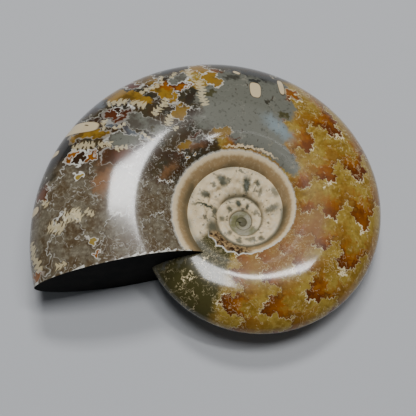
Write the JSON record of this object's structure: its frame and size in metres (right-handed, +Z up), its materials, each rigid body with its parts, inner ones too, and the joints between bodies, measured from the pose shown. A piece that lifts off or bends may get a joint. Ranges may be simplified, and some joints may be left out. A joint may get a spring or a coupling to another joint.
{
  "type": "ammonite fossil",
  "caption": "Polished coiled ammonite fossil with an open umbilicus and a straight saw cut at the mouth, lying on its side.",
  "frame": {"origin": "centre of the bounding box's footprint, on the surface that the fossil rests on", "axes": "+Z up from that surface, across the thin way of the shell; +X along the longest extent, from the mouth's side to the side across the coil; +Y away from the sawn mouth"},
  "size_m": [0.0874, 0.0728, 0.0223],
  "materials": {
    "polished_shell": "polished"
  },
  "bodies": {
    "root": {"ammonite": "polished_shell"}
  },
  "joints": []
}
